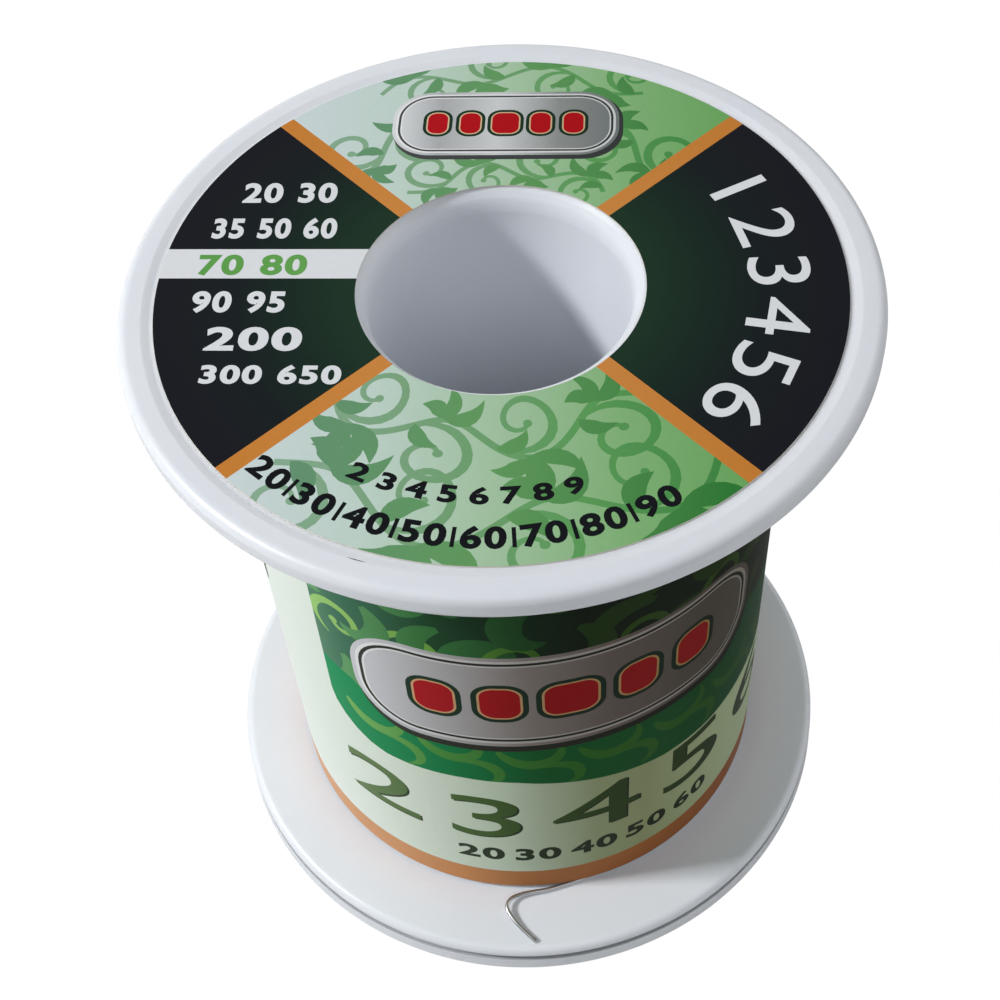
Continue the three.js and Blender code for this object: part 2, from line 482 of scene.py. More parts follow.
# %% The outline of each flange
BORE_RADIUS = 7.5
HUB_RADIUS = 9.5
LAND_INNER_RADIUS = 20.1
EDGE_ROUND = 0.6
LOWER_GROOVE = [(21.4, 1.62), (20.6, 1.55)]
LOWER_LIP_RADIUS = 21.42
LOWER_LIP_ROUND = 0.57
LOWER_LIP_START_ANGLE = -90
RING_HEIGHT = 1.2
RING_CHAMFER = 0.2
GROOVE_RADIUS = 20.9
UPPER_LIP_RADIUS = 21.1
UPPER_LIP_ROUND = 0.9
UPPER_LIP_START_ANGLE = -10
RECESS_DEPTH = 0.15
RECESS_RADIUS = 19.64
BORE_MOUTH = [(7.5, 1.5), (7.54, 1.15), (7.61, 0.85), (7.7, 0.58), (7.92, 0.26), (8.14, 0)]
SUPPORT = 0.06     # mm from an end of a long straight stretch to an extra point
LONG_STRETCH = 0.3
EDGE_STEPS = 16
LOWER_LIP_STEPS = 18
CHAMFER_STEPS = 6
UPPER_LIP_STEPS = 20


def arc(radius, height, size, start, end, steps):
    """Points (radius, height) on an arc about a centre, from one angle to another."""
    angles = [math.radians(start + (end - start) * i / steps) for i in range(steps + 1)]
    return [(radius + size * math.cos(a), height + size * math.sin(a)) for a in angles]


def supported(outline):
    """Adds points near both ends of long stretches, which keeps them looking flat."""
    held = []
    for (r, z), (next_r, next_z) in zip(outline, [*outline[1:], outline[0]]):
        length = math.hypot(next_r - r, next_z - z)
        shares = (0, SUPPORT / length, 1 - SUPPORT / length) if length > LONG_STRETCH else (0,)
        held += [(r + (next_r - r) * k, z + (next_z - z) * k) for k in shares]
    return held


face_outline = [
    *[(radius, RECESS_DEPTH + depth) for radius, depth in BORE_MOUTH],
    (RECESS_RADIUS, RECESS_DEPTH),
    (LAND_INNER_RADIUS, 0),
    *arc(FLANGE_RADIUS - EDGE_ROUND, EDGE_ROUND, EDGE_ROUND, -90, 0, EDGE_STEPS),
]
lower_flange = [
    *face_outline,
    *LOWER_GROOVE,
    *arc(LOWER_LIP_RADIUS - LOWER_LIP_ROUND, LOWER_THICKNESS - LOWER_LIP_ROUND,
         LOWER_LIP_ROUND, LOWER_LIP_START_ANGLE, 90, LOWER_LIP_STEPS),
]
upper_flange = [
    *face_outline,
    *arc(FLANGE_RADIUS - RING_CHAMFER, RING_HEIGHT, RING_CHAMFER, 0, 90, CHAMFER_STEPS),
    (GROOVE_RADIUS, RING_HEIGHT + RING_CHAMFER),
    *arc(UPPER_LIP_RADIUS - UPPER_LIP_ROUND, UPPER_THICKNESS - UPPER_LIP_ROUND,
         UPPER_LIP_ROUND, UPPER_LIP_START_ANGLE, 90, UPPER_LIP_STEPS),
]
print("flange outlines", len(lower_flange), "and", len(upper_flange), "points")

# %% Turn the halves
TURN_STEPS = 256
SPIGOT_LENGTH = 1.3
SPIGOT_RADIUS = 8.3
SOCKET_CLEARANCE = 0.3
SEAM_ROUND = 0.08
SEAM_STEPS = 3


def turned(name, outline, material):
    """A closed outline of (radius, height), anticlockwise, turned about the Z axis."""
    outline = supported(outline)
    points = [polar(r, 360 * i / TURN_STEPS, z) for i in range(TURN_STEPS) for r, z in outline]
    count = len(outline)
    faces = []
    for i in range(TURN_STEPS):
        here, there = i * count, (i + 1) % TURN_STEPS * count
        for k in range(count):
            n = (k + 1) % count
            faces.append((here + k, there + k, there + n, here + n))
    return solid(name, points, faces, [material])


seam = SPOOL_HEIGHT / 2
socket_radius = SPIGOT_RADIUS + SOCKET_CLEARANCE
socket_floor = seam - SPIGOT_LENGTH - SOCKET_CLEARANCE
lower_outline = [
    *lower_flange,
    (HUB_RADIUS, LOWER_THICKNESS),
    *arc(HUB_RADIUS - SEAM_ROUND, seam - SEAM_ROUND, SEAM_ROUND, 0, 90, SEAM_STEPS),
    (socket_radius, seam),
    (socket_radius, socket_floor),
    *arc(BORE_RADIUS + SEAM_ROUND, socket_floor - SEAM_ROUND, SEAM_ROUND, 90, 180,
         SEAM_STEPS),
]
upper_outline = [
    *[(r, SPOOL_HEIGHT - z) for r, z in upper_flange],
    (HUB_RADIUS, SPOOL_HEIGHT - UPPER_THICKNESS),
    *arc(HUB_RADIUS - SEAM_ROUND, seam + SEAM_ROUND, SEAM_ROUND, 0, -90, SEAM_STEPS),
    (SPIGOT_RADIUS, seam),
    (SPIGOT_RADIUS, seam - SPIGOT_LENGTH),
    *arc(BORE_RADIUS + SEAM_ROUND, seam - SPIGOT_LENGTH + SEAM_ROUND, SEAM_ROUND, -90, -180,
         SEAM_STEPS),
]
lower_half = turned("lower_half_moulding", lower_outline, polystyrene)
upper_half = turned("upper_half_moulding", upper_outline[::-1], polystyrene)
for piece, cad_node in ((lower_half, "lower_spool_half"), (upper_half, "upper_spool_half")):
    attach(piece, "root")
    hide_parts(cad_node)

# %% [markdown]
# ## The winding
#
# Under the label the wire lies turn against turn. Only a few turns show, above the
# label and below it, but the whole outer layer is wound, because the light
# between the flange and the label's edge gives it away. Geometry Nodes make it:
# a spiral curve with one rotation for each wire's width, given a round section.
# A plain core stands for the layers beneath.

# %% A Geometry Nodes tree that winds a layer of wire
TURN_POINTS = 60   # points in one turn of the spiral
WOUND_SIDES = 7    # sides of the wound wire


def winding_tree(material):
    """A node group that winds a layer of round wire about the Z axis."""
    group = bpy.data.node_groups.new("wound_layer", "GeometryNodeTree")
    for name in ("Turns", "Layer Radius", "Wire Radius", "Pitch", "Bottom"):
        group.interface.new_socket(name, in_out="INPUT", socket_type="NodeSocketFloat")
    group.interface.new_socket("Geometry", in_out="OUTPUT", socket_type="NodeSocketGeometry")
    sizes = node(group, "NodeGroupInput").outputs
    spiral = node(group, "GeometryNodeCurveSpiral", {
        "Resolution": TURN_POINTS, "Rotations": sizes["Turns"],
        "Start Radius": sizes["Layer Radius"], "End Radius": sizes["Layer Radius"],
        "Height": maths(group, "MULTIPLY", sizes["Turns"], sizes["Pitch"])})
    section = node(group, "GeometryNodeCurvePrimitiveCircle", {
        "Resolution": WOUND_SIDES, "Radius": sizes["Wire Radius"]})
    wire = node(group, "GeometryNodeCurveToMesh", {
        "Curve": spiral, "Profile Curve": section, "Fill Caps": True})
    lift = node(group, "ShaderNodeCombineXYZ", {"Z": sizes["Bottom"]})
    placed = node(group, "GeometryNodeTransform", {"Geometry": wire, "Translation": lift})
    real = node(group, "GeometryNodeRealizeInstances", {"Geometry": placed})
    finish = node(group, "GeometryNodeSetMaterial", {"Geometry": real, "Material": material})
    node(group, "NodeGroupOutput", {"Geometry": finish})
    return group


def grow(name, group, values):
    """Runs a node group on an empty mesh, and keeps the result as a plain mesh."""
    seed = placed(name + "_seed", bpy.data.meshes.new(name + "_seed"))
    modifier = seed.modifiers.new("nodes", "NODES")
    modifier.node_group = group
    for item in group.interface.items_tree:
        if item.in_out == "INPUT":
            modifier[item.identifier] = values[item.name]
    mesh = baked(seed)
    print(name, len(mesh.polygons), "faces")
    return placed(name, mesh)


# %% Wind the outer layer on its core
LAST_TURN_HEIGHT = 0.4
WOUND_RADIUS = WIRE_RADIUS * 0.98       # a hair less, so that turns don't touch
NESTED_STEP = WIRE_DIAMETER * 0.87      # a layer lies in the hollows of the next
CORE_GAP = 0.05
winding_bottom = LOWER_THICKNESS + LAST_TURN_HEIGHT
winding_top = SPOOL_HEIGHT - UPPER_THICKNESS
turn_count = int((winding_top - winding_bottom) / WIRE_DIAMETER) - 1
layer = grow("wound_outer_layer", winding_tree(wound_solder), {
    "Turns": float(turn_count),
    "Layer Radius": (WINDING_RADIUS - WIRE_RADIUS) * MM,
    "Wire Radius": WOUND_RADIUS * MM,
    "Pitch": WIRE_DIAMETER * MM,
    "Bottom": (winding_bottom + WIRE_RADIUS) * MM,
})
layer.data.shade_smooth()
core_radius = WINDING_RADIUS - NESTED_STEP
core = turned("wound_inner_layers", [
    (HUB_RADIUS + CORE_GAP, LOWER_THICKNESS + CORE_GAP),
    (core_radius - WIRE_RADIUS, LOWER_THICKNESS + CORE_GAP),
    (core_radius, winding_bottom),
    (core_radius, winding_top - CORE_GAP),
    (HUB_RADIUS + CORE_GAP, winding_top - CORE_GAP),
], wound_solder)
for piece in (layer, core):
    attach(piece, "root")
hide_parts("solder_winding")
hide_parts("solder_winding")
print("turns in the outer layer:", turn_count)

# %% [markdown]
# ## Printing on a sheet
#
# The labels are printed paper under a clear varnish. Cut shapes stay sharp at any
# distance, so the artwork is drawn as outlines, the flat sheet is cut along all of
# them at once, and each small triangle takes the ink of the last shape printed
# over it. The next cells give the shapes: circles, bars, numerals and scrolls.

# %% Simple outlines
def circle(x, y, size, steps=20):
    """Points round a circle."""
    return [(x + size * math.cos(2 * math.pi * i / steps),
             y + size * math.sin(2 * math.pi * i / steps)) for i in range(steps)]


def bar(left, bottom, right_end, top):
    """The corners of a rectangle."""
    return [(left, bottom), (right_end, bottom), (right_end, top), (left, top)]


def capsule(x, y, width, height, corner, steps=10):
    """A rectangle about (x, y) with round corners."""
    outline = []
    for quarter, (sx, sy) in enumerate(((1, 1), (-1, 1), (-1, -1), (1, -1))):
        cx, cy = x + sx * (width / 2 - corner), y + sy * (height / 2 - corner)
        outline += arc(cx, cy, corner, 90 * quarter, 90 * quarter + 90, steps)
    return outline


def sector(inner, outer, start, end, steps=40):
    """A piece of a ring between two radii and two angles."""
    angles = [start + (end - start) * i / steps for i in range(steps + 1)]
    return [polar(outer, a).to_2d()[:] for a in angles] + [
        polar(inner, a).to_2d()[:] for a in reversed(angles)]


def moved(loops, x, y, angle=0.0):
    """Outlines turned by an angle in degrees and then moved."""
    c, s = math.cos(math.radians(angle)), math.sin(math.radians(angle))
    return [[(x + c * px - s * py, y + s * px + c * py) for px, py in loop] for loop in loops]


# %% [markdown]
# Numerals come from Blender's own font. A text object is turned into a mesh, and
# the edges that have a face on one side only are chained into outlines.

# %% Outlines of numerals
def edge_loops(mesh):
    """The closed outlines of a flat mesh."""
    used = {}
    for face in mesh.polygons:
        for a, b in zip(face.vertices, [*face.vertices[1:], face.vertices[0]]):
            used[a, b] = True
    following = {a: b for a, b in used if (b, a) not in used}
    loops = []
    while following:
        start, here = following.popitem()
        loop = [start]
        while here != start:
            loop.append(here)
            here = following.pop(here)
        loops.append([mesh.vertices[i].co.to_2d()[:] for i in loop])
    return loops


def thicker(loop, amount):
    """An outline moved outwards, away from the ink on its left."""
    place = np.array(loop)
    ahead = np.roll(place, -1, axis=0) - place
    ahead /= np.maximum(np.linalg.norm(ahead, axis=1), 1e-9)[:, None]
    before = np.roll(ahead, 1, axis=0)
    away = np.stack([ahead[:, 1] + before[:, 1], -ahead[:, 0] - before[:, 0]], axis=1)
    away /= np.maximum(np.linalg.norm(away, axis=1), 1e-9)[:, None]
    lean = away[:, 0] * ahead[:, 1] - away[:, 1] * ahead[:, 0]
    return (place + away * (amount / np.maximum(lean, 0.6))[:, None]).tolist()


def numerals(text, height, widen=1.0, weight=0.04, fineness=4):
    """Outlines of a number, centred on x = 0 and standing on y = 0."""
    curve = bpy.data.curves.new("numerals", "FONT")
    curve.body = text
    curve.resolution_u = fineness
    curve.space_character = 1.1 + weight
    mesh = baked(placed("numerals", curve))
    loops = [thicker(loop, weight) for loop in edge_loops(mesh)]
    bpy.data.meshes.remove(mesh)
    flat = np.array([p for loop in loops for p in loop])
    low, high = flat.min(0), flat.max(0)
    size = height / (high[1] - low[1])
    middle = (low[0] + high[0]) / 2
    return [[((x - middle) * size * widen, (y - low[1]) * size) for x, y in loop]
            for loop in loops]


print("a numeral has", [len(loop) for loop in numerals("8", 1)], "points")

# %% [markdown]
# Scrolls and leaves are an old ornament, and they follow simple rules. A scroll is
# a ribbon whose bend tightens steadily until it ends in a small ball. A comma is a
# drop with a curling tail, and a leaf is a bowed line that comes to a point.

# %% Outlines of scrolls, commas and leaves
SCROLL_TAPER = 0.62        # the share of its width that a scroll loses
SCROLL_TIGHTENING = 0.84   # the share of its stride that it loses
BALL_SIZE = 0.42
COMMA_CURL = 190           # degrees that a comma's tail turns round


def ribbon(line, widths):
    """An outline round a line with a width at each of its points."""
    line = [Vector(p) for p in line]
    left, right_side = [], []
    for i, (place, width) in enumerate(zip(line, widths)):
        ahead = (line[min(i + 1, len(line) - 1)] - line[max(i - 1, 0)]).normalized()
        across = Vector((-ahead.y, ahead.x)) * width / 2
        left.append((place + across)[:])
        right_side.append((place - across)[:])
    return left + right_side[::-1]


def scroll(x, y, heading, size, turns, width, hand=1, steps=30):
    """A tapered spiral that leaves (x, y) along heading, and the ball at its end."""
    here, line, widths = Vector((x, y)), [], []
    for i in range(steps + 1):
        share = i / steps
        angle = math.radians(heading) + hand * 2 * math.pi * turns * share
        line.append(here.copy())
        widths.append(width * min(1, 0.1 + 5 * share) * (1 - SCROLL_TAPER * share))
        stride = 2 * math.pi * turns * size * (1 - SCROLL_TIGHTENING * share) / steps
        here += Vector((math.cos(angle), math.sin(angle))) * stride
    end = line[-1]
    return [ribbon(line, widths)], [circle(end.x, end.y, width * BALL_SIZE, 12)]


def comma(x, y, heading, length, width, hand=1, steps=22):
    """A plump drop from (x, y) along heading, whose tail curls round to one side."""
    here, line, widths = Vector((x, y)), [], []
    for i in range(steps + 1):
        share = i / steps
        angle = math.radians(heading + hand * COMMA_CURL * share ** 1.4)
        line.append(here.copy())
        widths.append(0.03 + width * math.sin(math.pi * (0.06 + 0.94 * share)) ** 0.8)
        here += Vector((math.cos(angle), math.sin(angle))) * length / steps
    return [ribbon(line, widths)]


def leaf(x, y, heading, length, width, bow=0.25, steps=9):
    """A pointed leaf from (x, y) along heading, bowed to its left."""
    line, widths = [], []
    for i in range(steps + 1):
        share = i / steps
        line.append((length * share, length * bow * math.sin(math.pi * share)))
        widths.append(width * math.sin(math.pi * share ** 0.8) + 0.02)
    return moved([ribbon(line, widths)], x, y, heading)


# %% [markdown]
# A rinceau joins them: a stem that runs in waves, with a scroll curled up in each
# hollow and leaves where the stem turns. It's drawn along a straight line, and can
# be bent round the disc.

# %% A rinceau along a line
def rinceau(waves, wave, rise, width, fullness=0.25):
    """Pairs of outlines and a tone for a wavy stem about (0, 0), with its scrolls."""
    steps = 24 * waves
    length = waves * wave
    line = [(length * (i / steps - 0.5), rise * math.sin(2 * math.pi * waves * i / steps))
            for i in range(steps + 1)]
    shapes = [([ribbon(line, [width] * (steps + 1))], 0)]
    for half in range(2 * waves):
        hand = 1 if half % 2 else -1
        start = length * (half / (2 * waves) - 0.5)
        slope = -hand * math.degrees(math.atan(2 * math.pi * rise / wave))
        curl, ball = scroll(start, 0, slope, wave * fullness, 1.35, width * 1.5, hand)
        shapes += [(curl, 0), (ball, 0)]
        crest = start + wave / 4
        top = -hand * rise
        for lean, long in ((35, 0.3), (100, 0.24), (160, 0.2)):
            heading = -hand * lean
            shapes.append((leaf(crest - wave * 0.04, top, heading, wave * long,
                                wave * 0.11, 0.22 * hand), 1))
        shapes.append((leaf(start + wave * 0.05, -hand * rise * 0.4, slope + hand * 75,
                            wave * 0.22, wave * 0.1, 0.2), 1))
    return shapes


def bent(shapes, radius, middle, flip=1):
    """Bends shapes round the origin: x runs along the circle and y points outwards."""
    turned_to = []
    for loops, tone in shapes:
        made = [[polar(radius + flip * y, middle + math.degrees(x / radius)).to_2d()[:]
                 for x, y in loop] for loop in loops]
        turned_to.append((made, tone))
    return turned_to


# %% [markdown]
# ## Cutting the sheet
#
# Blender's constrained Delaunay triangulation takes all the outlines as lines
# that the triangles may not cross, and finds where they meet each other. Each
# triangle's middle then tells which shapes it lies in.

# %% Cut a printed sheet
def inside(places, loops):
    """Which places lie inside the outlines, counting crossings to the right."""
    found = np.zeros(len(places), bool)
    for loop in loops:
        a = np.array(loop, float)
        b = np.roll(a, -1, axis=0)
        near = np.flatnonzero((places[:, 1] > a[:, 1].min()) & (places[:, 1] < a[:, 1].max())
                              & (places[:, 0] < a[:, 0].max()))
        x, y = places[near, 0][:, None], places[near, 1][:, None]
        spans = (a[:, 1] > y) != (b[:, 1] > y)
        rise = np.where(b[:, 1] == a[:, 1], 1, b[:, 1] - a[:, 1])
        crosses = spans & (x < (b[:, 0] - a[:, 0]) * (y - a[:, 1]) / rise + a[:, 0])
        found[near] ^= crosses.sum(1) % 2 == 1
    return found


def cut_sheet(border, shapes, cuts=()):
    """Points, triangles and inks of a flat sheet. shapes is a list of (loops, ink)."""
    points, edges = [], []
    for loop in [*border, *[loop for loops, ink in shapes for loop in loops]]:
        first, count = len(points), len(loop)
        points += [Vector(p) for p in loop]
        edges += [(first + i, first + (i + 1) % count) for i in range(count)]
    for start, end in cuts:
        edges.append((len(points), len(points) + 1))
        points += [Vector(start), Vector(end)]
    corners, _, triangles, *_ = delaunay_2d_cdt(points, edges, [], 0, 1e-5)
    corners = np.array([c[:] for c in corners])
    triangles = np.array([t[:] for t in triangles])
    middles = corners[triangles].mean(1)
    keep = inside(middles, border)
    triangles, middles = triangles[keep], middles[keep]
    inks = np.zeros(len(triangles), int)
    for loops, ink in shapes:
        inks[inside(middles, loops)] = ink
    print("cut", len(shapes), "shapes into", len(triangles), "triangles")
    return corners, triangles, inks


def sheet_solid(name, corners, triangles, inks, materials, place, normal):
    """A sheet with a thickness. place(x, y, side) puts a point on its front or back."""
    used, flat = np.unique(triangles, return_inverse=True)
    triangles = flat.reshape(-1, 3)
    corners = corners[used]
    count = len(corners)
    points = [place(x, y, side) for side in (0, 1) for x, y in corners]
    outward = [normal(x, y) for x, y in corners]
    facing = {(int(a), int(b)) for t in triangles for a, b in zip(t, np.roll(t, -1))}
    rim = [(b, a, a + count, b + count) for a, b in facing if (b, a) not in facing]
    faces = [tuple(int(i) for i in t) for t in triangles]
    faces += [tuple(int(i) + count for i in t[::-1]) for t in triangles]
    faces += sorted(rim)
    backing = len(materials) - 1
    made = solid(name, points, faces, materials,
                 [*inks, *[backing] * (len(inks) + len(rim))])
    bends = [outward[i] for t in triangles for i in t]
    bends += [-outward[i] for t in triangles for i in t[::-1]]
    first_rim = 2 * len(triangles)
    for face in made.data.polygons[first_rim:]:
        bends += [face.normal.copy()] * 4
    made.data.normals_split_custom_set(bends)
    return made


# %% [markdown]
# ## Inks
#
# All the inks lie under one varnish, so they share a gloss and differ only in
# colour. The print has soft blends: mint runs to leaf green from left to right,
# and the black glows green towards the hole. Each blend is a colour ramp along a
# direction on the label. On the wrap the ramps also hold painted shade, darker on
# the side away from the lamp. Paper fibres under the varnish make the surface a
# little uneven.

# %% One function for every ink
LABEL_TURN = -5.7     # degrees that the disc is stuck on askew
FIBRE_SIZE = 0.35     # mm between the paper's fibres, seen through the varnish
VARNISH_GLOSS = 0.03


def ink(name, stops, along="x", start=0.0, end=1.0, turn=0.0, shine=0.36):
    """A printed ink whose colour runs from start to end, in mm, along x or r; on the wrap the run
    is partly painted shade.
    """
    material, tree, place = new_material(name)
    square = node(tree, "ShaderNodeMapping", {
        "Vector": place, "Rotation": (0, 0, math.radians(turn)),
        "Scale": (1 / MM, 1 / MM, 1 / MM)})
    axes = node(tree, "ShaderNodeSeparateXYZ", {"Vector": square})
    value = axes.outputs["X"] if along == "x" else from_axis(tree, axes)
    tone = ramp(tree, remap(tree, value, start, end), stops)
    fibres = noise(tree, place, FIBRE_SIZE, 3.0)
    colour = node(tree, "ShaderNodeVectorMath", {
        0: tone, 1: remap(tree, fibres, 0, 1, 0.965, 1.035)}, operation="MULTIPLY")
    principled(tree, colour, shine, {
        "Normal": bump(tree, fibres, 0.06, 0.01), "Specular IOR Level": VARNISH_GLOSS})
    return material


# %% The disc's inks
disc_inks = {
    "mint": ink("mint_to_leaf_green_ink", {
        0: "#d0dde0", 0.28: "#c4d9cf", 0.5: "#aacbaa", 0.75: "#86b87c", 1: "#6cab60"},
        "x", -14, 14, 5.7),
    "vine": ink("vine_green_ink", {
        0: "#8fb39a", 0.35: "#7da980", 0.7: "#5fa15c", 1: "#3f8a44"}, "x", -13, 13, 5.7),
    "shade": ink("deep_vine_green_ink", {
        0: "#68947a", 0.5: "#66a062", 1: "#307d37"}, "x", -13, 13, 5.7),
    "black": ink("black_to_forest_ink", {
        0: "#22392b", 0.3: "#1d2f27", 0.62: "#1c2325", 1: "#1e1f25"}, "r", 8.5, 18.5),
    "white": ink("white_ink", {0: "#dfe2e6", 1: "#e3e6ea"}, "x", -20, 20),
    "leaf": ink("leaf_green_ink", {0: "#5fa04f", 1: "#69a858"}, "x", -18, -8),
    "orange": ink("orange_ink", {0: "#d08a45", 1: "#ca8238"}, "r", 8, 19),
    "type": ink("plain_black_ink", {0: "#17191c", 1: "#1a1c20"}, "x", -15, 15),
    "steel": ink("silver_grey_ink", {
        0: "#e4e7e9", 0.22: "#aeb2b4", 0.45: "#d0d3d4", 0.7: "#8e9291", 1: "#6a7372"},
        "x", -7.5, 7.5, 5.7, 0.3),
    "rim_dark": ink("dark_outline_ink", {0: "#4c4f50", 1: "#3a3d3d"}, "x", -7, 7),
    "rim_light": ink("pale_outline_ink", {0: "#f0f1f2", 1: "#cfd2d2"}, "x", -7, 7),
    "red": ink("signal_red_ink", {0: "#b8161f", 1: "#ad1219"}, "x", -7, 7),
    "mark_edge": ink("mark_outline_ink", {0: "#1f3a2a", 1: "#1c3325"}, "x", -7, 7),
    "cream": ink("cream_line_ink", {0: "#e2c9a4", 1: "#cdb088"}, "x", -7, 7),
    "paper": ink("label_paper", {0: "#d9d6cc", 1: "#dedbd2"}, "x", -20, 20, 0, 0.7),
}
disc_ink_names = list(disc_inks)
print(len(disc_inks), "inks on the disc")

# %% [markdown]
# ## The artwork of the disc
#
# Two black fields and two green ones are parted by four orange strips. The black
# fields carry plain numbers, the green ones scrollwork, a dial of numbers and a
# small silver plaque.

# %% Places on the disc
DISC_HOLE = 8.17
HOLE_MIDDLE = (0.1, -0.13)  # the hole was punched a little off the middle
STRIP_WIDTH = 1.0
SECTOR_EDGE = 45
BAND_FOOT, BAND_HEAD = 0.35, 2.7  # the white band in the left field
BAND_END = 0.6                    # how far it runs under the hole's edge
DISC_RINCEAUX = [  # waves, wave, rise, width, fullness, radius, middle, flip
    (2, 9.2, 1.25, 0.42, 0.25, 11.5, -90, 1),
    (2, 12.6, 1.5, 0.42, 0.2, 17.0, -88, -1),
    (1, 7.6, 1.2, 0.4, 0.25, 13.6, 123, 1),
    (1, 7.6, 1.2, 0.4, 0.25, 13.6, 56, -1),
    (2, 6.2, 0.7, 0.3, 0.25, 9.4, 90, 1),
    (2, 8.4, 0.8, 0.3, 0.2, 18.2, 90, -1),
]
DISC_ROWS = [  # text, left, right, foot, height, ink
    ("20 30", -15.5, -9.9, 6.56, 1.73, "white"),
    ("35 50 60", -16.9, -9.6, 3.56, 1.74, "white"),
    ("70 80", -17.3, -11.0, 0.57, 1.7, "leaf"),
    ("90 95", -17.2, -11.9, -2.35, 1.7, "white"),
    ("200", -16.0, -10.6, -5.2, 1.8, "white"),
    ("300 650", -15.9, -8.15, -7.6, 1.4, "white"),
]
ARC_RADIUS = 13.9
ARC_ANGLES = (29.7, 16.7, 3.7, -9.3, -22.3, -34.8)
ARC_FORM = (3.5, 1.2, 0, 10)
DIAL_RADIUS = 18.35
DIAL_ANGLES = [-94.6 + (i - 3.5) * 9.9 for i in range(8)]
SMALL_DIAL_RADIUS = 15.6
SMALL_DIAL_ANGLES = [-94 + (i - 3.5) * 6.2 for i in range(8)]
TICK_TURN = 5           # degrees from a number on the dial to the tick after it
TICK = (17.05, 18.3)    # the radii of a tick's ends
TICK_WIDTH = 0.22
DISC_PLAQUE = (-0.25, 13.58, 13.8, 5.8)  # x, y, width, height
PLAQUE_CORNER = 0.42    # from here on, shares of the plaque's height
PLAQUE_SHADOW = (0.03, -0.05)
PLAQUE_RINGS = [(0, "steel"), (0.035, "rim_light"), (0.06, "rim_dark"),
                (0.085, "rim_light"), (0.1, "steel")]
MARK_RINGS = [(0.1, "mark_edge"), (0.03, "cream"), (0, "red")]
PLAQUE_MARKS = [  # place and width of each lozenge, as shares of the plaque's width
    (-0.3, 0.088), (-0.155, 0.088), (0, 0.118), (0.155, 0.088), (0.3, 0.088)]


# %% Draw the disc
def disc_scrolls():
    """Rinceaux for the two green fields, in two tones."""
    rows = []
    for *form, radius, middle, flip in DISC_RINCEAUX:
        rows += bent(rinceau(*form), radius, middle, flip)
    return [(loops, ("vine", "shade")[tone]) for loops, tone in rows]


def numbers_round(numbers, angles, radius, facing, colour, *form):
    """Numbers about the disc's middle, with the form that numerals takes."""
    shapes = []
    for number, angle in zip(numbers, angles):
        place = polar(radius, angle)
        shapes.append((moved(numerals(str(number), *form), place.x, place.y, angle + facing),
                       colour))
    return shapes


def disc_numbers():
    """Plain numbers: rows in the left field, an arc in the right one."""
    shapes = []
    for text, left, right_end, base, height, colour in DISC_ROWS:
        loops = numerals(text, height, fineness=6)
        widen = (right_end - left) / np.ptp([x for loop in loops for x, y in loop])
        loops = [[(x * widen, y) for x, y in loop] for loop in loops]
        shapes.append((moved(loops, (left + right_end) / 2, base), colour))
    return shapes + numbers_round(range(1, 7), ARC_ANGLES, ARC_RADIUS, -90, "white", *ARC_FORM)


def disc_dial():
    """Two arcs of plain numbers in the lower green field, their tops to the hole."""
    shapes = numbers_round(range(20, 100, 10), DIAL_ANGLES, DIAL_RADIUS, 90, "type", 1.45, 1.2)
    for angle in DIAL_ANGLES[:-1]:
        ends = [polar(r, angle + TICK_TURN).to_2d() for r in TICK]
        shapes.append(([ribbon(ends, (TICK_WIDTH, TICK_WIDTH))], "type"))
    return shapes + numbers_round(range(2, 10), SMALL_DIAL_ANGLES, SMALL_DIAL_RADIUS, 90,
                                  "type", 1.15, 1.4)


def plaque(x, y, width, height):
    """A silver plaque with a bevelled rim and a row of red lozenges."""
    corner = height * PLAQUE_CORNER
    shadow_x, shadow_y = PLAQUE_SHADOW
    shapes = [([capsule(x + shadow_x * height, y + shadow_y * height, width * 1.01,
                        height * 1.03, corner)], "rim_dark")]
    for inset, colour in PLAQUE_RINGS:
        cut = inset * height
        shapes.append(([capsule(x, y, width - 2 * cut, height - 2 * cut, corner - cut)],
                       colour))
    for mark_x, mark_width in PLAQUE_MARKS:
        for grow_by, colour in MARK_RINGS:
            shapes.append(([capsule(
                x + mark_x * width, y, mark_width * width + grow_by * height,
                (0.32 + grow_by) * height, (0.09 + grow_by / 2) * height, 6)], colour))
    return shapes


# %% Cut and place the two discs
edge = DISC_RADIUS + 1
disc_shapes = disc_scrolls()
disc_shapes += disc_dial()
for middle in (0, 180):
    disc_shapes.append(([sector(DISC_HOLE - 1, edge, middle - SECTOR_EDGE,
                                middle + SECTOR_EDGE)], "black"))
disc_shapes.append(([bar(-edge, BAND_FOOT, -DISC_HOLE + BAND_END, BAND_HEAD)], "white"))
disc_shapes += disc_numbers()
for angle in (45, 135, 225, 315):
    ends = [polar(r, angle).to_2d() for r in (DISC_HOLE - 1, edge)]
    disc_shapes.append(([ribbon(ends, (STRIP_WIDTH, STRIP_WIDTH))], "orange"))
disc_shapes += plaque(*DISC_PLAQUE)
disc_border = [circle(0, 0, DISC_RADIUS, 192), circle(*HOLE_MIDDLE, DISC_HOLE, 128)]
disc_cut = cut_sheet(disc_border, [
    (loops, disc_ink_names.index(name)) for loops, name in disc_shapes])
askew = Matrix.Rotation(math.radians(LABEL_TURN), 4, "Z")
over = Matrix.Rotation(math.pi, 4, "Y")
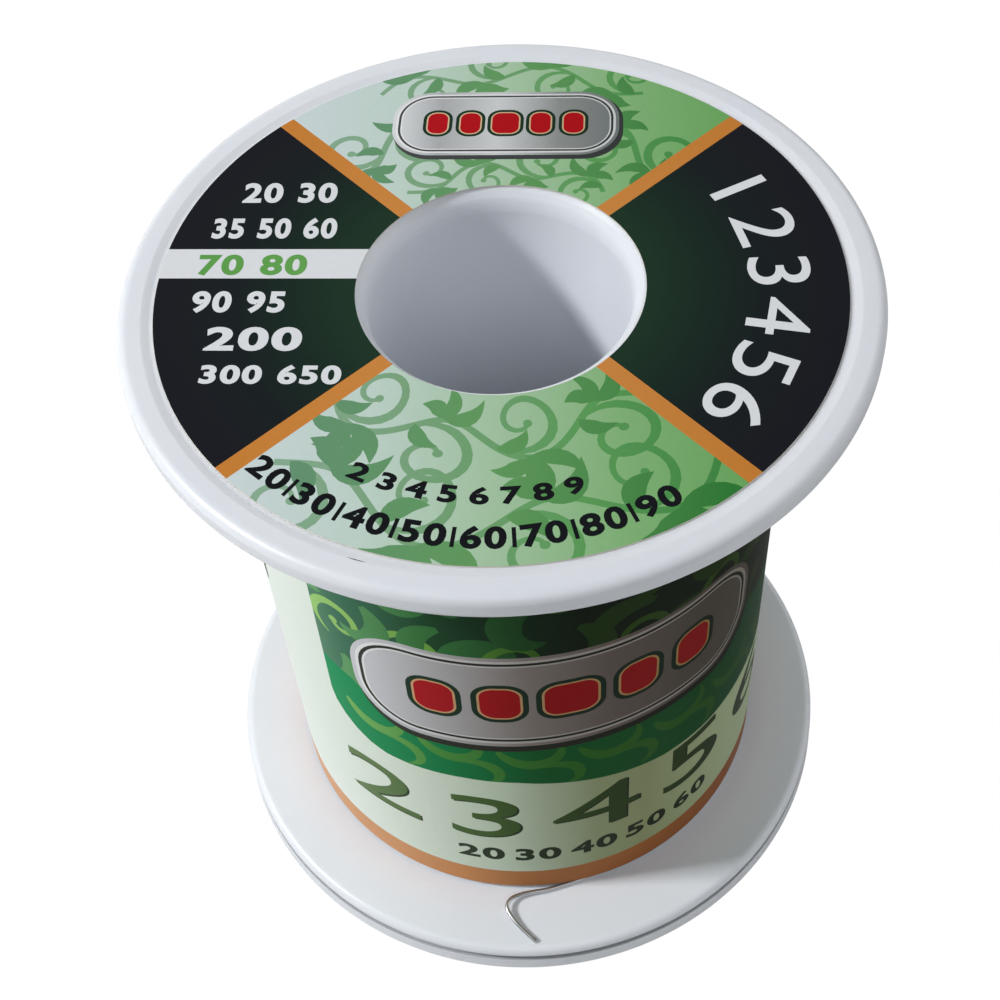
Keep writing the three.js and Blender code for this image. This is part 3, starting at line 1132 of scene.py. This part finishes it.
for name, cad_node, flip in (("upper_printed_disc", "upper_disc_label", False),
                             ("lower_printed_disc", "lower_disc_label", True)):
    def on_disc(x, y, side, flip=flip):
        """Lays a point of the flat sheet in the flange's recess."""
        height = DISC_TOP - side * DISC_THICKNESS - SPOOL_HEIGHT / 2
        spot = askew @ Vector((x, y, height))
        return (over @ spot if flip else spot) + Vector((0, 0, SPOOL_HEIGHT / 2))

    disc = sheet_solid(name, *disc_cut, list(disc_inks.values()), on_disc,
                       lambda x, y, flip=flip: Vector((0, 0, -1 if flip else 1)))
    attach(disc, "root")
    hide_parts(cad_node)

# %% [markdown]
# ## The artwork of the wrap label
#
# The wrap is a long strip with its design printed twice. It has a pale ground, a
# dark panel that ends in a slanting lower edge, a silver plaque, large numerals
# and an orange band along its foot. On the flat strip x is the distance round the
# label from the front, and y is the height.

# %% The wrap's inks
# Painted shade: every wrap ink darkens from left to right along X. Part of that is the print's own
# blend, and part is shade on the side turned from the lamp. The dark panel's pale left end is
# partly a painted sheen.
wrap_inks_with_painted_shade = {
    "pale": ink("pale_mint_ink_and_painted_shade", {
        0: "#ecf5ef", 0.2: "#e4f0e3", 0.45: "#cbdcc4", 0.62: "#98a47c", 0.72: "#929b70",
        1: "#b4c69e"}, "x", -16.7, 16.7),
    "panel": ink("dark_panel_ink_with_painted_sheen_and_shade", {
        0: "#6b9a7a", 0.12: "#40755a", 0.3: "#1d4a2b", 0.45: "#12301b", 0.6: "#0d1c0b",
        1: "#0a1607"},
        "x", -14, 15),
    "grass": ink("bright_green_ink_and_painted_shade", {
        0: "#1a9a60", 0.25: "#0a8247", 0.5: "#065a24", 1: "#033d16"}, "x", -13, 15),
    "blade": ink("olive_wave_ink_and_painted_shade", {
        0: "#86c46c", 0.25: "#4b9440", 0.55: "#2e6a20", 1: "#1f470f"}, "x", -13, 15),
    "swirl": ink("swirl_green_ink_and_painted_shade", {
        0: "#a4d67c", 0.25: "#72aa48", 0.45: "#3f7024", 0.6: "#2b4a12", 1: "#29400d"},
        "x", -13, 15),
    "swirl_deep": ink("deep_swirl_ink_and_painted_shade", {
        0: "#6fae74", 0.25: "#3c7c42", 0.45: "#1f4f24", 0.6: "#1d380f", 1: "#1c2e0b"},
        "x", -13, 15),
    "numeral": ink("olive_numeral_ink_and_painted_shade", {
        0: "#6d8a58", 0.35: "#4a6a33", 0.65: "#2c4314", 1: "#223312"}, "x", -14, 14),
    "numeral_edge": ink("numeral_edge_ink_and_painted_shade", {0: "#3f4f38", 0.5: "#26331c", 1: "#141c0b"},
                        "x", -14, 14),
    "orange": ink("wrap_orange_ink_and_painted_shade", {
        0: "#dca67a", 0.35: "#d0905a", 0.6: "#a86c3c", 1: "#8f5222"}, "x", -16, 14),
    "steel": ink("wrap_silver_ink_and_painted_shade", {
        0: "#d6d9de", 0.2: "#b9b9bb", 0.42: "#8d8580", 0.6: "#6a605a", 0.8: "#514a42",
        1: "#4a443d"}, "x", -11, 15, 0, 0.3),
    "rim_dark": ink("wrap_dark_outline_ink_and_painted_shade", {0: "#34372f", 1: "#17190f"}, "x", -9, 9),
    "rim_light": ink("wrap_pale_outline_ink_and_painted_shade", {0: "#e9ebec", 0.5: "#a9a49e", 1: "#8b857c"},
                     "x", -9, 13),
    "red": ink("wrap_red_ink_and_painted_shade", {0: "#b81520", 0.5: "#9a0a10", 1: "#8a0507"}, "x", -9, 12),
    "mark_edge": ink("wrap_mark_outline_ink_and_painted_shade", {0: "#1d3a28", 1: "#0b1c10"}, "x", -9, 12),
    "cream": ink("wrap_cream_line_ink_and_painted_shade", {0: "#dcae82", 1: "#8f7440"}, "x", -9, 12),
    "paper": disc_inks["paper"],
}
wrap_ink_names = list(wrap_inks_with_painted_shade)
print(len(wrap_inks_with_painted_shade), "inks on the wrap")

# %% Draw one repeat of the wrap
REPEAT = math.pi * FILM_RADIUS
TILE_START = -20
PANEL_LEFT = -13.75
PANEL_RIGHT = 26.35
PANEL_FOOT = 16       # under the lowest point of the panel's edge
ORANGE_TOP = 5.6
foot, head = FILM_BOTTOM - 1, FILM_TOP + 1
CURL_ROWS = [  # height, size, x of the first curl
    (30.4, 2.2, -12.6), (37.2, 2.5, -10.3), (41.8, 2, -7.2)]
CURL_STEP = 6.3
NUMERAL_PLACE = (-10.9, 10.7)
NUMERAL_SHADOW = (0.16, -0.12)
NUMERAL_FORM = (5.5, 1.65, 0, 10)
SMALL_PLACE = (-3.9, 7.3)
SMALL_STEP = 3.9
SMALL_FORM = (1.8, 1.3)
LEAF_PLACE = (PANEL_RIGHT + 5.4, 26.5)
LEAF_STEP = 3
LEAF_FORM = (78, 2.9, 1.5, 0.2)
WRAP_PLAQUE = (2.6, 28.1, 27.5, 10)
PANEL_EDGE = [
    (PANEL_LEFT, 22.9), (-13.5, 21.7), (-12.9, 20.6), (-12, 19.6), (-11, 18.9), (-9.8, 18.5),
    (-8.2, 18.45), (-4.5, 18.6), (-1, 18.45), (2.5, 17.8), (6, 17.1), (9, 16.6), (13, 16.4),
    (18, 16.6), (PANEL_RIGHT, 16.7),
]
GRASS_EDGE = [
    (PANEL_LEFT, 27), (-11.5, 26.2), (-9.5, 24.4), (-7, 23.4), (-3, 23.3), (2, 23.6),
    (8, 24), (13, 24.8), (17, 25.6), (22, 25), (PANEL_RIGHT, 24.4),
]


def wrap_panel():
    """The dark panel, its curls, and the bright waves along its lower edge."""
    shapes = [([bar(PANEL_LEFT, PANEL_FOOT, PANEL_RIGHT, head)], "panel")]
    for y, size, first in CURL_ROWS:
        for i in range(7):
            x = first + CURL_STEP * i
            hand = 1 if i % 2 else -1
            heading = 90 - 70 * hand + 25 * math.sin(1.7 * i + y)
            curl, ball = scroll(x, y, heading, size, 1.2, size * 0.36, hand)
            shapes.append((comma(x - 0.8 * hand, y - 1.7, heading + 160, 6, 1.7, hand),
                           "swirl_deep"))
            shapes.append((comma(x + 1.5 * hand, y + 1.2, heading + 40, 6.6, 2, -hand),
                           "swirl_deep"))
            shapes += [(curl, "swirl"), (ball, "swirl")]
    shapes.append(([[*GRASS_EDGE, (PANEL_RIGHT, PANEL_FOOT), (PANEL_LEFT, PANEL_FOOT)]], "grass"))
    for i in range(8):
        x = -12.3 + 5.1 * i
        y = 23.3 - 0.45 * i
        shapes.append((comma(x, y, -62, 6.4, 1, 1), "blade"))
        shapes.append((comma(x + 2.6, y - 2.1, 12, 5, 0.8, -1), "blade"))
    beside = (REPEAT - PANEL_RIGHT + PANEL_LEFT) / 2
    ground = bar(PANEL_LEFT - beside, PANEL_FOOT - 1, PANEL_RIGHT + beside, head)
    panel = [(PANEL_LEFT, head), *PANEL_EDGE, (PANEL_RIGHT, head)]
    shapes.append(([ground, panel], "pale"))
    return shapes


def wrap_numbers():
    """Large numerals under the panel, small ones under them, and leaves beside it."""
    shapes = []
    left, base = NUMERAL_PLACE
    for i in range(6):
        figure = numerals(str(i + 2), *NUMERAL_FORM)
        x = left + REPEAT / 7 * i
        shapes.append((moved(figure, x + NUMERAL_SHADOW[0], base + NUMERAL_SHADOW[1]),
                       "numeral_edge"))
        shapes.append((moved(figure, x, base), "numeral"))
    left, base = SMALL_PLACE
    for i in range(5):
        figure = numerals(str(10 * (i + 2)), *SMALL_FORM)
        shapes.append((moved(figure, left + SMALL_STEP * i, base), "numeral_edge"))
    left, base = LEAF_PLACE
    for i in range(5):
        shapes.append((leaf(left, base + LEAF_STEP * i, *LEAF_FORM), "numeral_edge"))
    return shapes


def wrap_artwork():
    """The shapes of both repeats, each with the name of its ink."""
    tile = wrap_panel() + wrap_numbers()
    tile.append(([bar(TILE_START, foot, TILE_START + REPEAT, ORANGE_TOP)], "orange"))
    tile += plaque(*WRAP_PLAQUE)
    shapes = []
    for shift in (-REPEAT, 0, REPEAT):
        for loops, name in tile:
            shapes.append((moved(loops, shift, 0), name))
    return shapes


# %% Cut the wrap and put it round the winding
LAP = 1.6           # mm that the sheet's end laps over its start
LAP_CLIMB = 1.2     # mm along which it climbs on to it
SHEET_STEP = 0.06   # mm that the lap stands out
SHEET_SHARE = 0.9   # the sheet's thickness, as a share of that
CUT_STEP = 0.55     # mm between the upright cuts that let the sheet bend
wrap_end = TILE_START + REPEAT
wrap_start = wrap_end - 2 * REPEAT
cut_count = int((wrap_end + LAP - wrap_start) / CUT_STEP)
cut_places = [wrap_start + (wrap_end + LAP - wrap_start) * i / cut_count
              for i in range(1, cut_count)]
wrap_cut = cut_sheet(
    [bar(wrap_start, FILM_BOTTOM, wrap_end + LAP, FILM_TOP)],
    [(loops, wrap_ink_names.index(name)) for loops, name in wrap_artwork()],
    [((x, FILM_BOTTOM), (x, FILM_TOP)) for x in cut_places],
)


def on_wrap(x, y, side):
    """Rolls a point of the flat sheet round the winding."""
    climb = min(1, max(0, (x - wrap_end + LAP_CLIMB) / LAP_CLIMB))
    out = FILM_RADIUS - SHEET_STEP * (1 - climb) - side * SHEET_SHARE * SHEET_STEP
    angle = x / FILM_RADIUS
    return Vector((out * math.sin(angle), -out * math.cos(angle), y))


wrap = sheet_solid("printed_wrap", *wrap_cut, list(wrap_inks_with_painted_shade.values()), on_wrap,
                   lambda x, y: Vector((math.sin(x / FILM_RADIUS), -math.cos(x / FILM_RADIUS), 0)))
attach(wrap, "root")
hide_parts("wrap_label")

# %% [markdown]
# ## Floor and light
#
# The spool stands on a white sweep that runs out of the picture. To the camera
# the sweep is white paper with a faint shadow, and for the light it is plain
# grey card. A soft lamp stands on the left, forty degrees up. The rest of the light
# comes from three soft parts of the sky: a glow high up in front, as from a window
# behind the photographer, a low one on the right and a broad one at the back.

# %% The floor
FLOOR_SIZE = 1.5    # metres
GLOW_SHARE = 0.94   # how much of the paper's white is its own to the camera
GLOW = 1.06

floor_mesh = bpy.data.meshes.new("floor")
floor_mesh.from_pydata(
    [(x * FLOOR_SIZE, y * FLOOR_SIZE, 0) for x, y in ((-1, -1), (1, -1), (1, 1), (-1, 1))],
    [], [(0, 1, 2, 3)])
floor = placed("floor", floor_mesh)

card, tree, place = new_material("white_sweep_paper")
seen = node(tree, "ShaderNodeLightPath").outputs["Is Camera Ray"]
matt = node(tree, "ShaderNodeBsdfDiffuse", {"Color": linear("#d3d3d3")})
glow = node(tree, "ShaderNodeEmission", {"Color": linear("#ffffff"), "Strength": GLOW})
both = node(tree, "ShaderNodeMixShader", {
    0: maths(tree, "MULTIPLY", seen, GLOW_SHARE), 1: matt, 2: glow})
node(tree, "ShaderNodeOutputMaterial", {"Surface": both})
floor_mesh.materials.append(card)

# %% The lamp
LAMP_AZIMUTH = 184
LAMP_ELEVATION = 40
LAMP_DISTANCE = 0.5   # metres, like its width
LAMP_WIDTH = 0.06
LAMP_POWER = 1.95     # watts

lamp_data = bpy.data.lights.new("key_lamp", "AREA")
lamp_data.size = LAMP_WIDTH
lamp_data.energy = LAMP_POWER
lamp = placed("key_lamp", lamp_data)
tilt = math.radians(LAMP_ELEVATION)
away = polar(math.cos(tilt), LAMP_AZIMUTH, math.sin(tilt))
lamp_place = Vector((0, 0, SPOOL_HEIGHT / 2 * MM)) + away * LAMP_DISTANCE
lamp.matrix_world = (Matrix.Translation(lamp_place)
                     @ away.to_track_quat("Z", "Y").to_matrix().to_4x4())
print("lamp", LAMP_POWER, "W")

# %% The sky
SKY_LOBES = [  # direction, tightness, strength
    ((0, -0.64, 0.77), 10, 1.3),
    ((1, 0, 0), 6, 1.8),
    ((0, 1, 0), 1, 0.5),
]
world = bpy.data.worlds.new("pale_sky")
scene.world = world
world.use_nodes = True
tree = world.node_tree
tree.nodes.clear()
seen = node(tree, "ShaderNodeLightPath").outputs["Is Camera Ray"]
aim = node(tree, "ShaderNodeTexCoord").outputs["Generated"]
total = 0.0
for direction, tightness, strength in SKY_LOBES:
    nearness = node(tree, "ShaderNodeVectorMath", {
        0: aim, 1: Vector(direction).normalized()}, operation="DOT_PRODUCT")
    lobe = maths(tree, "POWER", maths(tree, "MAXIMUM", nearness, 0.0), tightness)
    total = maths(tree, "MULTIPLY_ADD", lobe, strength, total)
level = node(tree, "ShaderNodeMix", {"Factor": seen, "A": total, "B": 1.0})
sky = node(tree, "ShaderNodeBackground", {"Color": linear("#ffffff"), "Strength": level})
node(tree, "ShaderNodeOutputWorld", {"Surface": sky})
